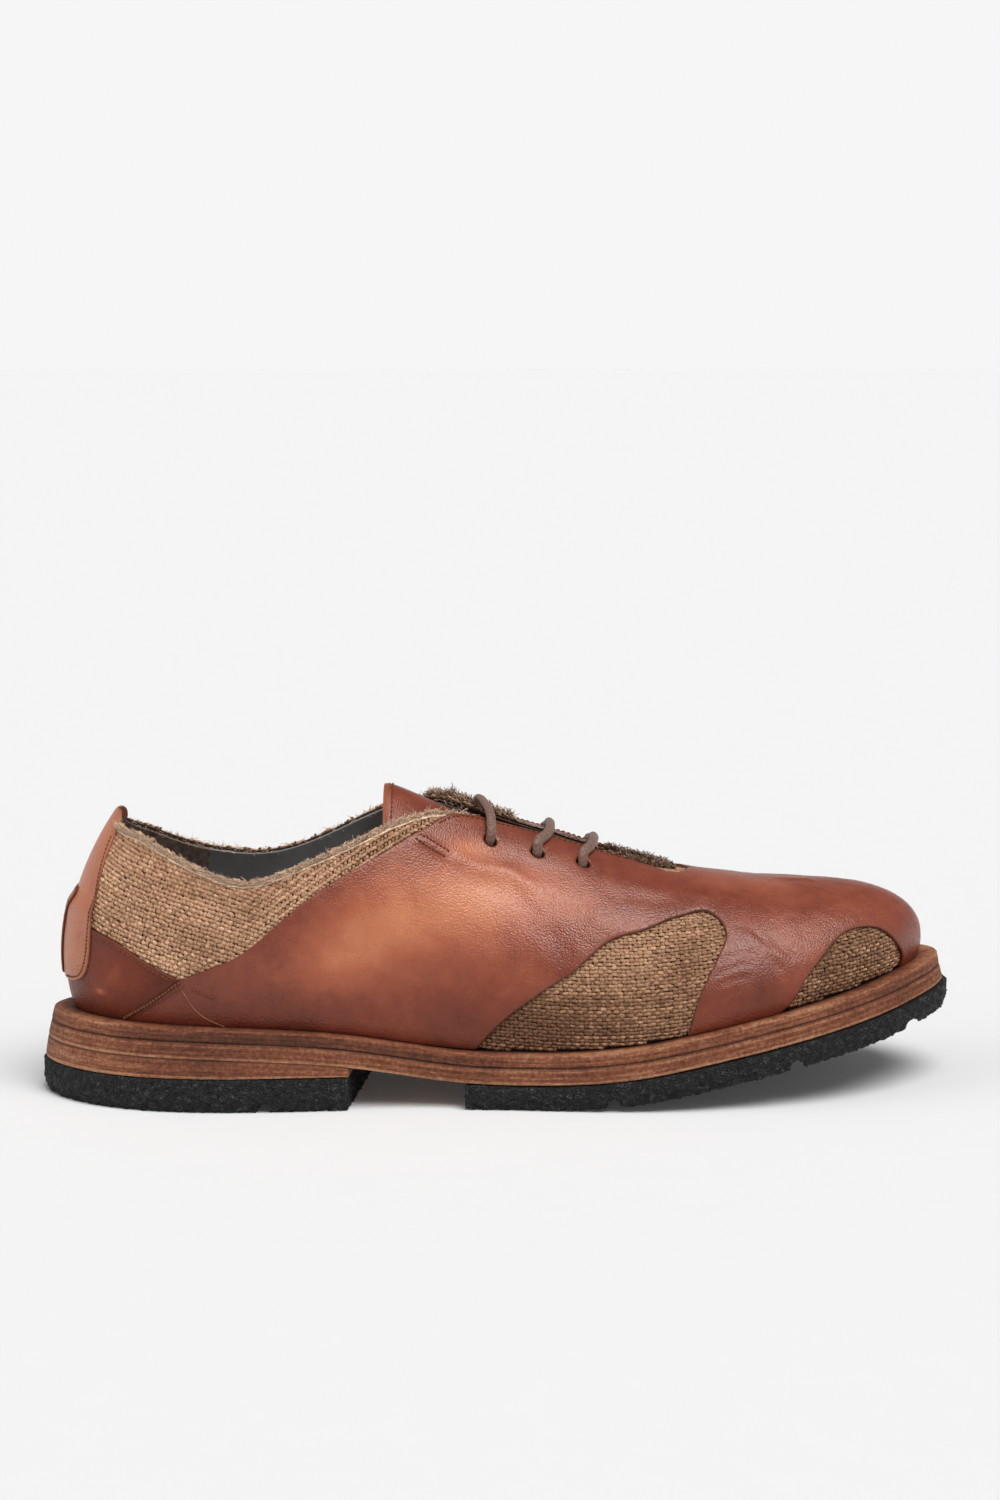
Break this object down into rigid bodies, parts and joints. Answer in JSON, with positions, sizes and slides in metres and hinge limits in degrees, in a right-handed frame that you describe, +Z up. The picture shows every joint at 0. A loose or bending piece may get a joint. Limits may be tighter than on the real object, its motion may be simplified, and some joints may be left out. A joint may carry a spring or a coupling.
{
  "type": "oxford shoe",
  "caption": "Low lace-up shoe for the right foot: hollow burlap upper under brown leather overlays, open throat with laces, leather welt and grooved rubber sole; worn on a foot.",
  "frame": {"origin": "middle of the shoe's bounding box, on the floor under the sole", "axes": "+X from heel to toe, +Y from the lateral to the medial side, +Z up"},
  "size_m": [0.302, 0.1091, 0.1009],
  "materials": {
    "burlap": "coarse plain weave",
    "brown_leather": "grained, waxed, patinated",
    "dark_leather": "matt",
    "sole_leather": "stacked, rough edge",
    "black_rubber": "crepe, speckled, matt",
    "dark_cord": "waxed round lace"
  },
  "bodies": {
    "root": {"upper": "burlap", "vamp": "brown_leather", "counter": "brown_leather", "heel_strip": "brown_leather", "heel_tab": "brown_leather", "tongue": "brown_leather", "insole": "dark_leather", "welt": "sole_leather", "midsole": "sole_leather", "heel_lift": "sole_leather", "heel_rubber": "black_rubber", "forefoot_rubber": "black_rubber", "lace_bar_1": "dark_cord", "lace_bar_2": "dark_cord", "lace_bar_3": "dark_cord"}
  },
  "joints": []
}
